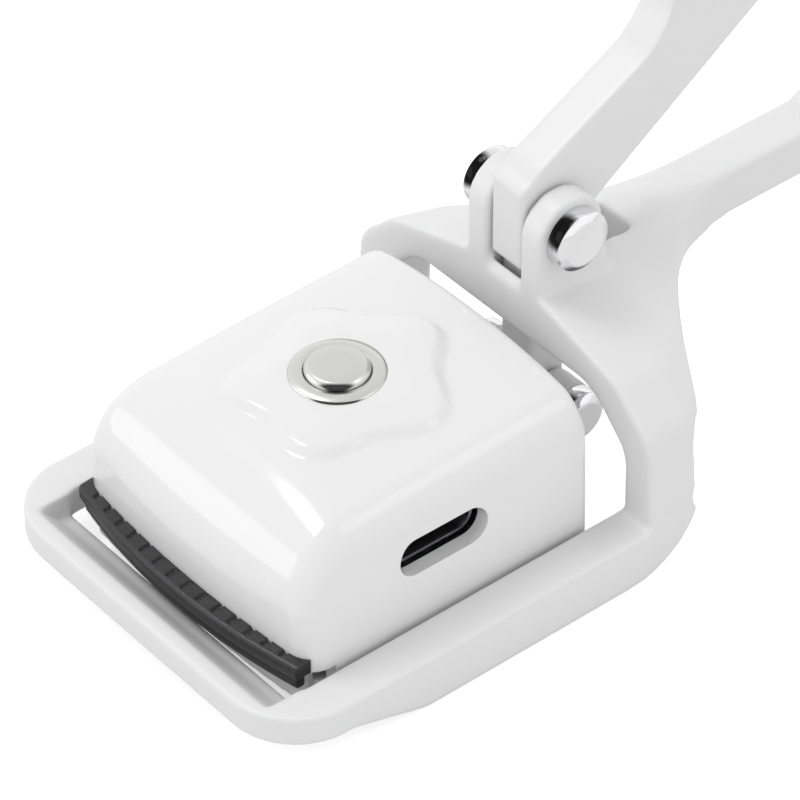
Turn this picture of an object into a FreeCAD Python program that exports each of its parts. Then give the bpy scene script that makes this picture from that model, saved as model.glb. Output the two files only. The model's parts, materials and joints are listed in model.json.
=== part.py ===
"""Heated, rechargeable eyelash curler, in millimetres.

+X is the object's right, +Y runs from the lash end to the finger loops, +Z is up. The origin is the
bottom centre of the whole object's box. The underside of the frame's two arms is the plane z = 0.
"""
import FreeCAD, Part
import math
import os

V = FreeCAD.Vector

# Overall sizes
overall_length = 108.0        # lash bar to the rear of the handle loop
frame_width = 41.0
arm_height = 5.5
arm_width = 4.2
arch_height = 22.0
pivot_above_arch = 5.2
pivot_from_front = 44.8
link_height = 7.8             # height of the pin that pushes the head

# Lash bar and plan corners of the frame
bar_band = 1.6                # flat top of the lash bar
bar_depth = 5.2               # whole depth of the lash bar
bar_thickness = 3.1
bar_recess_depth = 2.2
recess_slope_depth = 2.2      # plan depth of the recess's sloping front
front_corner_radius = 7.0
opening_corner_radius = 0.6
recess_end_inset = 0.2

# Arch over the head's rear, and hood behind it
arch_front_offset = 3.7       # arch face in front of the pivot axis
leg_depth = 5.7
leg_heel_radius = 8.0         # rounding under the leg, seen from the side
shoulder_drop = 7.6            # crown to the arch's flank corner
shoulder_run = 4.6
shoulder_rise = 4.4
hood_edge_height = 12.6       # lower edge of the hood where it leaves the leg
arch_wall_side = 3.7
arch_wall_top = 5.5
hood_crown_radius = 4.0
hood_length = 24.0            # from the arch face to where the handle is straight
ear_radius = 3.7
ear_thickness = 2.6
lip_thickness = 0.9
lip_slope_drop = 1.1
slot_rear = 13.2              # rear end of the lever's slot, behind the arch face
nub_radius = 1.4
nub_height = 0.35

# Handle and its finger loop
handle_width = 4.8
handle_height = 4.8
handle_loop_radius = 14.0
loop_rim = 3.4
handle_loop_drop = 3.1        # loop centre below the handle's mid-height
neck_length = 2.5             # straight handle's end to the loop's front
neck_join_angle = 37.0        # where the neck's edges meet the loop, from its front

# Lever
lever_width = 4.0
lever_hub_radius = 5.25
lever_face = 3.3              # flat front face ahead of the pivot axis
lever_arm_half = 2.0          # half depth of the arm under the hub
lever_upper_slope = 28.0
lever_upper_rise = 6.3        # upper edge above the pivot axis
lever_loop_radius = 14.0
lever_loop_back = 29.5        # loop centre behind the pivot axis
lever_loop_up = 32.8          # loop centre above the pivot axis
lever_eye_radius = 2.4
lever_tip_hole_radius = 3.4

# Pins and their caps
pivot_pin_radius = 1.5
link_pin_radius = 1.0
pivot_cap_radius = 2.9
link_cap_radius = 2.5
cap_bevel = 0.45
cap_thickness = 1.9
cap_bore_depth = 1.0

# Clearances
running_fit = 0.05            # radial, pin in a turning hole
side_gap = 0.25               # lever to ear, each side
body_gap = 0.3                # moving body to its neighbour
link_slot_extra = 0.4         # length added to the lever's lower hole, along the arm
button_fit = 0.07
head_travel_back = 2.4
head_travel_front = 0.6

# Head
head_side_gap = 0.5            # head's flank to the arm beside it
head_length = 32.3
head_top = 20.0
head_bottom = 1.2
head_wall = 1.4
head_front_gap = 5.7          # lash bar's outer face to the head's front
head_corner_radius = 3.0
head_front_bow = 0.7
relief_height = 0.5
petal_radius = 10.6
valley_radius = 8.7
button_from_front = 16.9      # button's centre behind the head's front
relief_behind_button = 0.6    # relief's centre behind the button's
base_thickness = 1.4
heater_notch = 4.2            # height of the gap under the head's front edge, for the heater

# Rails of the head in the arms
rail_height = 1.8
rail_depth = 1.2
rail_length = 20.0
rail_bottom = 1.7
rail_foot_gap = 0.15

# Link lugs on the head's base
lug_thickness = 3.1
lug_gap = 0.35
barrel_radius = 2.5

# Button
ring_radius = 4.32
ring_hole_radius = 3.0
ring_stand = 0.8               # ring's face above the head's crown
ring_thickness = 2.2
button_stand = 0.6             # button's face above the ring's
button_travel = 0.5
button_skirt = 1.6
stem_radius = 1.2

# Charging port
port_from_front = 15.9        # port centre behind the head's front
port_height = 12.2
port_slot_length = 9.7
port_slot_height = 3.65
port_length = 8.94
port_body_height = 3.16
port_depth = 7.3
port_wall = 0.3
tongue_length = 6.7
tongue_thickness = 0.7

# Board, battery and switch
board_thickness = 1.2
board_width = 18.8
board_end_gap = 3.6           # board's front edge behind the cavity's front
switch_size = 4.0
switch_body_height = 1.6
plunger_radius = 0.9
plunger_height = 0.9
battery_width = 17.0
battery_length = 16.6
battery_height = 5.4
tape_thickness = 0.4
post_radius = 1.7
post_inset_x = 1.4
boss_radius = 1.9
boss_inset = 3.4
screw_radius = 0.7
screw_head_radius = 1.3
screw_head_height = 0.7
screw_length = 4.6
lead_radius = 0.4

# Heater and comb
comb_half_width = 15.2
comb_bow = 1.7
comb_flange_depth = 1.8
comb_flange_thickness = 1.5
comb_root_depth = 0.9
comb_root_setback = 0.45
comb_seat = 0.9               # how far the flange runs in under the head's front edge
comb_root_height = 1.4
comb_flange_height = 6.9      # top of the comb's flange
comb_slot_count = 14
comb_slot_pitch = 2.0
comb_slot_width = 0.6
comb_slot_length = 1.3
pad_setback = 0.3             # pad's front behind the head's front
pad_height = 2.6
heater_plate_depth = 0.8

# Places worked out from the sizes above
front_y = -overall_length / 2
rear_y = overall_length / 2
pivot_y = front_y + pivot_from_front
arch_y = pivot_y - arch_front_offset
half_frame = frame_width / 2
pivot_height = arch_height + pivot_above_arch
ring_top = head_top + ring_stand
button_top = ring_top + button_stand
half_opening = half_frame - arm_width
opening_front_y = front_y + bar_depth
link_drop = pivot_height - link_height
half_lever = lever_width / 2
ear_inner = half_lever + side_gap
ear_outer = ear_inner + ear_thickness
handle_top = arch_height
handle_bottom = handle_top - handle_height
handle_loop_y = rear_y - handle_loop_radius
handle_loop_z = (handle_top + handle_bottom) / 2 - handle_loop_drop
head_front_y = front_y + head_front_gap
head_rear_y = head_front_y + head_length
half_head = half_opening - head_side_gap
cavity_front_y = head_front_y + head_wall
cavity_rear_y = head_rear_y - head_wall
half_cavity = half_head - head_wall - 0.6
base_top = head_bottom + base_thickness
button_y = head_front_y + button_from_front
relief_y = button_y + relief_behind_button
heater_front_y = head_front_y + head_front_bow + head_wall + 0.2
heater_rear_y = heater_front_y + heater_plate_depth
port_y = head_front_y + port_from_front
board_top = port_height - port_body_height / 2
board_bottom = board_top - board_thickness
board_front_y = cavity_front_y + board_end_gap
board_rear_y = cavity_rear_y - body_gap
post_x = board_width / 2 - post_inset_x
post_front_y = board_front_y + post_radius
post_rear_y = board_rear_y - post_radius
boss_x = half_head - head_wall - boss_inset + 1.3
boss_front_y = heater_rear_y + boss_radius + body_gap
boss_rear_y = head_rear_y - boss_inset
lug_inner = half_lever + lug_gap
lug_outer = lug_inner + lug_thickness


def outline(corners, plane, level):
    """Closed wire with corners (u, v, radius) drawn in plane, at a level across it."""
    place = {
        "xy": lambda u, v: V(u, v, level),
        "yz": lambda u, v: V(level, u, v),
        "xz": lambda u, v: V(u, level, v),
    }[plane]
    stretches = []
    for number, (u, v, radius) in enumerate(corners):
        here = V(u, v, 0)
        before = V(*corners[number - 1][:2], 0) - here
        after = V(*corners[(number + 1) % len(corners)][:2], 0) - here
        if radius == 0:
            stretches.append([here])
            continue
        half_angle = before.getAngle(after) / 2
        reach = radius / math.tan(half_angle)
        before.normalize()
        after.normalize()
        inward = (before + after).normalize()
        middle = here + inward * (radius / math.sin(half_angle) - radius)
        stretches.append([here + before * reach, middle, here + after * reach])
    edges = []
    for number, stretch in enumerate(stretches):
        points = [place(p.x, p.y) for p in stretch]
        following = stretches[(number + 1) % len(stretches)][0]
        if len(points) == 3:
            edges.append(Part.Arc(*points).toShape())
        target = place(following.x, following.y)
        if points[-1].distanceToPoint(target) > 1e-6:
            edges.append(Part.LineSegment(points[-1], target).toShape())
    return Part.Wire(edges)


def prism(corners, plane, low, high):
    """Solid with a cornered outline in plane, from low to high across it."""
    across = {"xy": V(0, 0, 1), "yz": V(1, 0, 0), "xz": V(0, 1, 0)}[plane]
    return Part.Face(outline(corners, plane, low)).extrude(across * (high - low))


def block(x_low, x_high, y_low, y_high, z_low, z_high):
    """Box between two corners."""
    return Part.makeBox(x_high - x_low, y_high - y_low, z_high - z_low, V(x_low, y_low, z_low))


def rod_x(radius, y, z, x_low, x_high):
    """Round bar along X."""
    return Part.makeCylinder(radius, x_high - x_low, V(x_low, y, z), V(1, 0, 0))


def rod_z(radius, x, y, z_low, z_high):
    """Round bar along Z."""
    return Part.makeCylinder(radius, z_high - z_low, V(x, y, z_low), V(0, 0, 1))


def union(shapes):
    """One solid from shapes that meet."""
    return shapes[0].multiFuse(shapes[1:]).removeSplitter()


def symmetric(corners):
    """Outline corners on the right, given bottom to top, with their mirror images on the left."""
    return corners + [(-u, v, r) for u, v, r in reversed(corners)]


def hull_of_rounds(y_a, z_a, r_a, y_b, z_b, r_b, half_width):
    """Solid across X around two circles in the YZ plane and the band between them."""
    along = V(y_b - y_a, z_b - z_a, 0)
    lean = math.acos((r_a - r_b) / along.Length)
    direction = math.atan2(along.y, along.x)
    corners = []
    for turn in (lean, -lean):
        ends = [(y_a, z_a, r_a), (y_b, z_b, r_b)]
        if turn < 0:
            ends.reverse()
        for y, z, r in ends:
            corners.append((y + r * math.cos(direction + turn), z + r * math.sin(direction + turn), 0))
    band = prism(corners, "yz", -half_width, half_width)
    rounds = [rod_x(r, y, z, -half_width, half_width) for y, z, r in ((y_a, z_a, r_a), (y_b, z_b, r_b))]
    return union([band] + rounds)


def bowed_strip(half_width, front_y_mid, bow, depth, z_low, z_high):
    """Strip across X whose front and rear faces bow forward by the same amount."""
    def arc(y_mid, sign):
        return Part.Arc(V(-sign * half_width, y_mid + bow, z_low), V(0, y_mid, z_low),
                        V(sign * half_width, y_mid + bow, z_low)).toShape()
    front = arc(front_y_mid, 1)
    rear = arc(front_y_mid + depth, -1)
    right = Part.LineSegment(V(half_width, front_y_mid + bow, z_low),
                             V(half_width, front_y_mid + depth + bow, z_low)).toShape()
    left = Part.LineSegment(V(-half_width, front_y_mid + depth + bow, z_low),
                            V(-half_width, front_y_mid + bow, z_low)).toShape()
    return Part.Face(Part.Wire([front, right, rear, left])).extrude(V(0, 0, z_high - z_low))


def lead(points, radius):
    """Insulated wire along straight runs joined by arcs of 0.45 of the shorter run's reach."""
    edges = []
    start = points[0]
    for number in range(1, len(points) - 1):
        corner = points[number]
        back = points[number - 1] - corner
        ahead = points[number + 1] - corner
        reach = 0.45 * min(back.Length, ahead.Length)
        half_angle = back.getAngle(ahead) / 2
        bend = reach * math.tan(half_angle)
        back.normalize()
        ahead.normalize()
        middle = corner + (back + ahead).normalize() * (bend / math.sin(half_angle) - bend)
        edges.append(Part.LineSegment(start, corner + back * reach).toShape())
        edges.append(Part.Arc(corner + back * reach, middle, corner + ahead * reach).toShape())
        start = corner + ahead * reach
    edges.append(Part.LineSegment(start, points[-1]).toShape())
    path = Part.Wire(edges)
    section = Part.Wire(Part.makeCircle(radius, points[0], points[1] - points[0]))
    return path.makePipeShell([section], True, False)


# Frame ---------------------------------------------------------------------------------------------

def frame_loop():
    """Flat loop: lash bar in front, an arm at each side, open at the rear under the arch."""
    leg_rear_y = arch_y + leg_depth
    outer = prism(symmetric([(half_frame, front_y, front_corner_radius), (half_frame, leg_rear_y, 0)]),
                  "xy", 0, arm_height)
    opening = prism(symmetric([(half_opening, opening_front_y, opening_corner_radius),
                               (half_opening, leg_rear_y + 1, 0)]), "xy", -1, arm_height + 1)
    lift = arm_height - bar_thickness
    under_bar = prism([(front_y - 1, -1, 0), (front_y + 3 * bar_depth, -1, 0), (front_y + 3 * bar_depth, 0, 0),
                       (front_y + 1.5 * bar_depth, lift, 4.0), (front_y - 1, lift, 0)],
                      "yz", -half_frame - 1, half_frame + 1)
    band_y = front_y + bar_band
    half_recess = half_opening - recess_end_inset
    recess_floor = arm_height - bar_recess_depth
    recess = prism([(band_y, arm_height, 0), (band_y + recess_slope_depth, recess_floor, 1.5),
                    (opening_front_y + 0.1, recess_floor, 0), (opening_front_y + 0.1, arm_height + 1, 0),
                    (band_y, arm_height + 1, 0)],
                   "yz", -half_recess, half_recess)
    return outer.cut(opening).cut(under_bar).cut(recess)


def hood_section(y, half_foot, half_flank, flank_z, crown_share):
    """Outer outline of the arch and hood at one station along Y: flank, shoulder, then crown."""
    half_shoulder = half_flank - shoulder_run
    crown_radius = min(hood_crown_radius, 0.58 * half_shoulder)
    return outline(symmetric([(half_foot, -1, 0), (half_flank, flank_z, 4.5),
                              (half_shoulder, flank_z + shoulder_rise, 4.0),
                              (crown_share * half_shoulder, arch_height, crown_radius)]), "xz", y)


def hood():
    """Arch over the head's rear, drawn out rearwards and narrowing into the handle."""
    half_handle = handle_width / 2
    leg_rear_y = arch_y + leg_depth
    end_y = arch_y + hood_length + 2
    flare = Part.BSplineCurve()
    flare.interpolate(
        Points=[V(half_frame, leg_rear_y, 0), V(0.58 * half_frame, arch_y + 10.9, 0),
                V(0.2 * half_frame, arch_y + 18.0, 0), V(half_handle, end_y, 0)],
        InitialTangent=V(-1.2, 1.0, 0), FinalTangent=V(0, 1, 0))
    right_side = flare.toShape()
    left_side = right_side.mirror(V(0, 0, 0), V(1, 0, 0))
    corners = [V(half_frame, leg_rear_y, 0), V(half_frame, arch_y, 0), V(-half_frame, arch_y, 0),
               V(-half_frame, leg_rear_y, 0)]
    front_lines = [Part.LineSegment(a, b).toShape() for a, b in zip(corners, corners[1:])]
    rear_line = Part.LineSegment(V(-half_handle, end_y, 0), V(half_handle, end_y, 0)).toShape()
    plan_outline = Part.Wire(Part.__sortEdges__([right_side, left_side, rear_line] + front_lines))
    plan = Part.Face(plan_outline).extrude(V(0, 0, arch_height + 1))
    flank_z = arch_height - shoulder_drop
    stations = [hood_section(arch_y, half_frame, half_frame - 0.7, flank_z, 0.3),
                hood_section(leg_rear_y, half_frame, half_frame - 1.6, flank_z - 0.9, 0.25),
                hood_section(arch_y + 2 * leg_depth, half_frame - 2, half_frame - 5.0, flank_z - 1.4, 0.2),
                hood_section(end_y + 1, half_frame - 8, half_frame - 9, flank_z - 1.8, 0.4)]
    outer = Part.makeLoft(stations, True, True)
    half_inner = half_frame - arch_wall_side
    inner_top = arch_height - arch_wall_top
    inner = prism(symmetric([(half_inner, -2, 0), (half_inner - 0.4, inner_top - 4.6, 3.5),
                             (half_inner - 5.0, inner_top, 5.0)]), "xz", arch_y - 2, end_y + 2)
    return plan.common(outer).cut(inner)


def heel_cut():
    """Space under and behind the legs: a rounded heel, then the hood's lower edge up to the handle."""
    leg_rear_y = arch_y + leg_depth
    start_y = leg_rear_y - 2 * leg_heel_radius
    end_y = arch_y + hood_length
    return prism([(start_y, -3, 0), (start_y, 0, 0), (leg_rear_y, 0, leg_heel_radius),
                  (leg_rear_y + 0.4, hood_edge_height, 2.0), (end_y, handle_bottom, 12.0),
                  (end_y + 4, handle_bottom, 0), (end_y + 4, -3, 0)],
                 "yz", -half_frame - 1, half_frame + 1)


def ears():
    """Two upright ears that hold the main pivot pin."""
    front = arch_y
    rear = pivot_y + ear_radius
    foot = arch_height - arch_wall_top / 2
    post = prism([(front, foot, 0), (rear + 1.4, foot, 0), (rear, pivot_height, 0), (front, pivot_height, 0)],
                 "yz", -ear_outer, ear_outer)
    return union([post, rod_x(ear_radius, pivot_y, pivot_height, -ear_outer, ear_outer)])


def handle():
    """Straight handle that ends in the lower finger loop."""
    half = handle_width / 2
    bar = block(-half, half, arch_y + hood_length - 4, handle_loop_y - handle_loop_radius + 1,
                handle_bottom, handle_top)
    neck_y = handle_loop_y - handle_loop_radius - neck_length
    join_angle = math.radians(neck_join_angle)
    join_y = handle_loop_y - handle_loop_radius * math.cos(join_angle)
    spread = handle_loop_radius * math.sin(join_angle)
    neck = prism([(neck_y, handle_bottom, 0), (join_y, handle_loop_z - spread, 0),
                  (join_y, handle_loop_z + spread, 0), (neck_y, handle_top, 0)], "yz", -half, half)
    ring = rod_x(handle_loop_radius, handle_loop_y, handle_loop_z, -half, half)
    return union([bar, neck, ring])


def frame():
    """Whole moulded frame."""
    half = handle_width / 2 + 1
    solid = union([frame_loop(), hood(), ears(), handle(),
                   rod_z(nub_radius, 0, arch_y + slot_rear + 3.8, arch_height - 1, arch_height + nub_height)])
    loop_hole = rod_x(handle_loop_radius - loop_rim, handle_loop_y, handle_loop_z, -half, half)
    slot = block(-ear_inner, ear_inner, arch_y + lip_thickness, arch_y + slot_rear, -1, arch_height + 10)
    between_ears = block(-ear_inner, ear_inner, arch_y - 1, arch_y + slot_rear,
                         arch_height + 0.2, arch_height + 10)
    hub_room = rod_x(lever_hub_radius + side_gap, pivot_y, pivot_height, -ear_inner, ear_inner)
    lip_slope = prism([(arch_y - 1, arch_height - lip_slope_drop, 0),
                       (arch_y, arch_height - lip_slope_drop, 0),
                       (arch_y + lip_thickness, arch_height + 0.4, 0), (arch_y - 1, arch_height + 0.4, 0)],
                      "yz", -ear_inner, ear_inner)
    pin_hole = rod_x(pivot_pin_radius, pivot_y, pivot_height, -ear_outer - 1, ear_outer + 1)
    for tool in (loop_hole, slot, between_ears, hub_room, lip_slope, pin_hole, heel_cut(),
                 *rail_grooves()):
        solid = solid.cut(tool)
    return solid


def rail_grooves():
    """Grooves in the arms' inner walls that the head's rails run in."""
    low = rail_bottom - body_gap
    high = rail_bottom + rail_height + body_gap
    rail_mid_y = (head_front_y + head_rear_y) / 2
    front = rail_mid_y - rail_length / 2 - head_travel_front - body_gap
    rear = rail_mid_y + rail_length / 2 + head_travel_back + body_gap
    depth = half_head + rail_depth + body_gap
    return [block(x, x + depth - half_opening + 1, front, rear, low, high)
            for x in (half_opening - 1, -depth)]


# Lever and pins ------------------------------------------------------------------------------------

def lever():
    """Upper lever: finger loop, neck, hub and the arm that drives the head."""
    slope = math.tan(math.radians(lever_upper_slope))
    loop_y = pivot_y + lever_loop_back
    loop_z = pivot_height + lever_loop_up
    face_y = pivot_y - lever_face
    crease_y = pivot_y + 13.5
    flank_y = loop_y - lever_loop_radius

    def upper_edge(y):
        return pivot_height + lever_upper_rise + slope * (y - pivot_y)

    under_angle = math.atan2(lever_loop_up, lever_loop_back)
    under_angle -= math.asin((lever_loop_radius + 0.8) / math.hypot(lever_loop_back, lever_loop_up))
    under_touch = (loop_y + lever_loop_radius * math.sin(under_angle),
                   loop_z - lever_loop_radius * math.cos(under_angle))
    neck = prism([(face_y, pivot_height - lever_face, 0), (face_y, upper_edge(face_y), 5.0),
                  (crease_y, upper_edge(crease_y), 8.0), (flank_y, loop_z, 0), (loop_y, loop_z, 0),
                  (*under_touch, 0), (pivot_y + 4.0, pivot_height - 1.4, 0)],
                 "yz", -half_lever, half_lever)
    hub = rod_x(lever_hub_radius, pivot_y, pivot_height, -half_lever, half_lever)
    hub = hub.cut(block(-half_lever, half_lever, face_y - lever_hub_radius, face_y,
                        pivot_height - lever_hub_radius, pivot_height + lever_hub_radius))
    ring = rod_x(lever_loop_radius, loop_y, loop_z, -half_lever, half_lever)
    arm = block(-half_lever, half_lever, pivot_y - lever_arm_half, pivot_y + lever_arm_half,
                link_height, pivot_height)
    eye = rod_x(lever_eye_radius, pivot_y, link_height, -half_lever, half_lever)
    reach = lever_loop_radius * 0.9
    lean = math.atan2(lever_loop_up, lever_loop_back)
    hole = hull_of_rounds(loop_y, loop_z, lever_loop_radius - loop_rim,
                          loop_y - reach * math.cos(lean), loop_z - reach * math.sin(lean),
                          lever_tip_hole_radius, half_lever + 1)
    bore = rod_x(pivot_pin_radius + running_fit, pivot_y, pivot_height, -half_lever - 1, half_lever + 1)
    link_radius = link_pin_radius + running_fit
    link_slot = hull_of_rounds(pivot_y, link_height - link_slot_extra / 2, link_radius,
                               pivot_y, link_height + link_slot_extra / 2, link_radius, half_lever + 1)
    return union([neck, hub, ring, arm, eye]).cut(hole).cut(bore).cut(link_slot)


def cap(radius, y, z, side, seat):
    """Round cap with a bevelled face, on the end of a pin; side is 1 on the right and -1 on the left."""
    profile = [V(0, 0, 0), V(radius, 0, 0), V(radius, cap_thickness - cap_bevel, 0),
               V(radius - cap_bevel, cap_thickness, 0), V(0, cap_thickness, 0), V(0, 0, 0)]
    body = Part.Face(Part.makePolygon(profile)).revolve(V(0, 0, 0), V(0, 1, 0), 360)
    body.rotate(V(0, 0, 0), V(0, 0, 1), -90 * side)
    body.translate(V(side * seat, y, z))
    return body


def pin_and_caps(name, radius, cap_radius, y, z, seat):
    """Pin across the object and the two caps pressed on its ends."""
    end = seat + cap_bore_depth
    pin = rod_x(radius, y, z, -end, end)
    return {
        name + "_pin": pin,
        name + "_cap_right": cap(cap_radius, y, z, 1, seat).cut(pin),
        name + "_cap_left": cap(cap_radius, y, z, -1, seat).cut(pin),
    }


# Head ----------------------------------------------------------------------------------------------

def head_body(inset):
    """Outer form of the head, or its cavity when inset is the wall."""
    half = half_head - inset
    front = head_front_y + inset
    rear = head_rear_y - inset
    top = head_top - inset
    low = head_bottom - (1 if inset else 0)
    half_flat = half - head_corner_radius
    corner_y = front + head_front_bow
    tuck = head_corner_radius * (1 - math.sqrt(0.5))
    front_arc = Part.Arc(V(-half_flat, corner_y, low), V(0, front, low), V(half_flat, corner_y, low)).toShape()
    right_corner = Part.Arc(V(half_flat, corner_y, low), V(half - tuck, corner_y + tuck, low),
                            V(half, corner_y + head_corner_radius, low)).toShape()
    left_corner = right_corner.mirror(V(0, 0, 0), V(1, 0, 0))
    sides = [V(half, corner_y + head_corner_radius, low), V(half, rear, low), V(-half, rear, low),
             V(-half, corner_y + head_corner_radius, low)]
    lines = [Part.LineSegment(a, b).toShape() for a, b in zip(sides, sides[1:])]
    plan_outline = Part.Wire(Part.__sortEdges__([front_arc, right_corner, left_corner] + lines))
    plan = Part.Face(plan_outline).extrude(V(0, 0, top + 5))
    section = prism(symmetric([(half + 0.1, low - 1, 0), (half - 0.5, top - 1.6, 4.0), (4.0, top, 20.0)]),
                    "xz", front - 5, rear + 5)
    profile = prism([(front - 0.5, low - 1, 0), (rear, low - 1, 0), (rear, top, 0),
                     (front + 6.0, top - 1.1, 8.0), (front - 0.3, top - 7.4, 5.0)],
                    "yz", -half - 5, half + 5)
    return plan.common(section).common(profile)


def flower(x, y, z_low, z_high):
    """Five-petalled prism with soft valleys, from a radius that waves five times round."""
    mean = (petal_radius + valley_radius) / 2
    swing = (petal_radius - valley_radius) / 2
    samples = 40
    points = []
    for number in range(samples):
        angle = 2 * math.pi * number / samples
        radius = mean + swing * math.cos(5 * (angle - math.pi / 2))
        points.append(V(x + radius * math.cos(angle), y + radius * math.sin(angle), z_low))
    curve = Part.BSplineCurve()
    curve.interpolate(Points=points, PeriodicFlag=True)
    return Part.Face(Part.Wire(curve.toShape())).extrude(V(0, 0, z_high - z_low))


def boss_places():
    """Centres of the four screws that hold the base to the shell."""
    return [(side * boss_x, y) for side in (-1, 1) for y in (boss_front_y, boss_rear_y)]


def head_shell():
    """Glossy upper shell with its flower relief, button hole, port slot and screw bosses."""
    outer = head_body(0)
    raised = outer.copy()
    raised.translate(V(0, 0, relief_height))
    relief = flower(0, relief_y, head_top - 4, head_top + 2).common(raised)
    cavity = head_body(head_wall)
    solid = union([outer, relief]).cut(cavity)
    bosses = [rod_z(boss_radius, x, y, base_top, head_top).common(outer) for x, y in boss_places()]
    solid = union([solid] + bosses)
    ring_hole = rod_z(ring_radius, 0, button_y, head_top - 5, head_top + 5)
    half = port_slot_height / 2
    port = hull_of_rounds(port_y - port_slot_length / 2 + half, port_height, half,
                          port_y + port_slot_length / 2 - half, port_height, half - 1e-4, 2 * half_head)
    port = port.common(block(0, 2 * half_head, front_y, rear_y, 0, arch_height))
    notch = block(-half_head - 1, half_head + 1, head_front_y - 3, heater_rear_y,
                  head_bottom - 1, head_bottom + heater_notch)
    solid = solid.cut(ring_hole).cut(port).cut(notch)
    for x, y in boss_places():
        solid = solid.cut(rod_z(screw_radius, x, y, base_top - 1, head_bottom + screw_length))
    return solid


def head_base():
    """Lower cover with the rails, the board's posts and the lugs of the link pin."""
    inner = half_head - head_wall
    plate = block(-inner, inner, heater_rear_y, cavity_rear_y, head_bottom, base_top)
    plate = plate.common(head_body(head_wall + 1e-3))
    rail_mid_y = (head_front_y + head_rear_y) / 2
    under = head_bottom - 0.6
    skirt = block(-half_head, half_head, rail_mid_y - rail_length / 2, rail_mid_y + rail_length / 2,
                  under, head_bottom)
    rail_foot = half_head + rail_foot_gap
    rails = [prism([(side * (half_head - 1), under, 0), (side * rail_foot, under, 0),
                    (side * rail_foot, rail_bottom, 0), (side * (half_head + rail_depth), rail_bottom, 0),
                    (side * (half_head + rail_depth), rail_bottom + rail_height, 0),
                    (side * half_head, rail_bottom + rail_height, 0),
                    (side * half_head, head_bottom, 0), (side * (half_head - 1), head_bottom, 0)],
                   "xz", rail_mid_y - rail_length / 2, rail_mid_y + rail_length / 2) for side in (-1, 1)]
    tail = block(-lug_outer, lug_outer, cavity_rear_y - 4, pivot_y - 0.5, under, base_top)
    tail = tail.cut(block(-lug_outer, lug_outer, head_rear_y - head_wall, head_rear_y, head_bottom, base_top))
    lugs = []
    for low, high in ((lug_inner, lug_outer), (-lug_outer, -lug_inner)):
        web = prism([(head_rear_y + 0.2, under, 0), (pivot_y + 0.4, under, 1.0),
                     (pivot_y + barrel_radius * 0.7, link_height, 0),
                     (pivot_y - barrel_radius * 0.7, link_height + barrel_radius * 0.6, 0),
                     (head_rear_y + 0.2, link_height - 2.5, 0)], "yz", low, high)
        lugs.append(union([web, rod_x(barrel_radius, pivot_y, link_height, low, high)]))
    posts = [rod_z(post_radius, side * post_x, y, base_top - 0.5, board_bottom)
             for side in (-1, 1) for y in (post_front_y, post_rear_y)]
    solid = union([plate, skirt, tail] + rails + lugs + posts)
    solid = solid.cut(rod_x(link_pin_radius, pivot_y, link_height, -lug_outer - 1, lug_outer + 1))
    for x, y in boss_places():
        solid = solid.cut(rod_z(screw_radius, x, y, under - 1, base_top + 1))
        solid = solid.cut(rod_z(screw_head_radius, x, y, under - 1, head_bottom + 0.3))
    for side in (-1, 1):
        solid = solid.cut(rod_z(screw_radius, side * post_x, post_front_y, board_bottom - 3, board_top))
    return solid


def screw(x, y, seat, up, length):
    """Pan-head screw; its head sits at seat and its shank points along up."""
    head = Part.makeCylinder(screw_head_radius, screw_head_height, V(x, y, seat), V(0, 0, -up))
    shank = Part.makeCylinder(screw_radius, length, V(x, y, seat), V(0, 0, up))
    return union([head, shank])


def base_screws():
    """Four screws from below into the shell's bosses."""
    seat = head_bottom + 0.3
    return Part.makeCompound([screw(x, y, seat, 1, screw_length - 0.6) for x, y in boss_places()])


def board_screws():
    """Two screws through the board into the front posts."""
    return Part.makeCompound([screw(side * post_x, post_front_y, board_top, -1, board_thickness + 2.4)
                              for side in (-1, 1)])


# Button and switch ---------------------------------------------------------------------------------

def button_ring():
    """Metal bezel set in the roof, with a bevelled outer edge."""
    bevel = 0.35
    low = ring_top - ring_thickness
    outline = [V(ring_hole_radius, 0, low), V(ring_radius, 0, low), V(ring_radius, 0, ring_top - bevel),
               V(ring_radius - bevel, 0, ring_top), V(ring_hole_radius, 0, ring_top),
               V(ring_hole_radius, 0, low)]
    ring = Part.Face(Part.makePolygon(outline)).revolve(V(0, 0, 0), V(0, 0, 1), 360)
    ring.translate(V(0, button_y, 0))
    return ring


def power_button():
    """Metal button with a domed edge, a skirt in the bezel and a stem to the switch."""
    radius = ring_hole_radius - button_fit
    bevel = 0.3
    stem_foot = board_top + switch_body_height + plunger_height
    outline = [V(0, 0, stem_foot), V(stem_radius, 0, stem_foot),
               V(stem_radius, 0, ring_top - button_skirt), V(radius, 0, ring_top - button_skirt),
               V(radius, 0, button_top - bevel), V(radius - bevel, 0, button_top),
               V(0, 0, button_top), V(0, 0, stem_foot)]
    button = Part.Face(Part.makePolygon(outline)).revolve(V(0, 0, 0), V(0, 0, 1), 360)
    button.translate(V(0, button_y, 0))
    return button


def tact_switch():
    """Square switch body on the board, with a well that the plunger runs in."""
    half = switch_size / 2
    body = block(-half, half, button_y - half, button_y + half, board_top, board_top + switch_body_height)
    well = rod_z(plunger_radius + button_fit, 0, button_y, board_top + 0.3, board_top + switch_body_height + 1)
    return body.cut(well)


def switch_plunger():
    """Plunger of the switch, under the button's stem."""
    foot = board_top + 0.3 + button_travel + 0.2
    return rod_z(plunger_radius, 0, button_y, foot, board_top + switch_body_height + plunger_height)


# Electrics -----------------------------------------------------------------------------------------

def circuit_board():
    """Board on the base's posts."""
    half = board_width / 2
    board = block(-half, half, board_front_y, board_rear_y, board_bottom, board_top)
    for side in (-1, 1):
        board = board.cut(rod_z(screw_radius, side * post_x, post_front_y, board_bottom - 1, board_top + 1))
    return board


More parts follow.
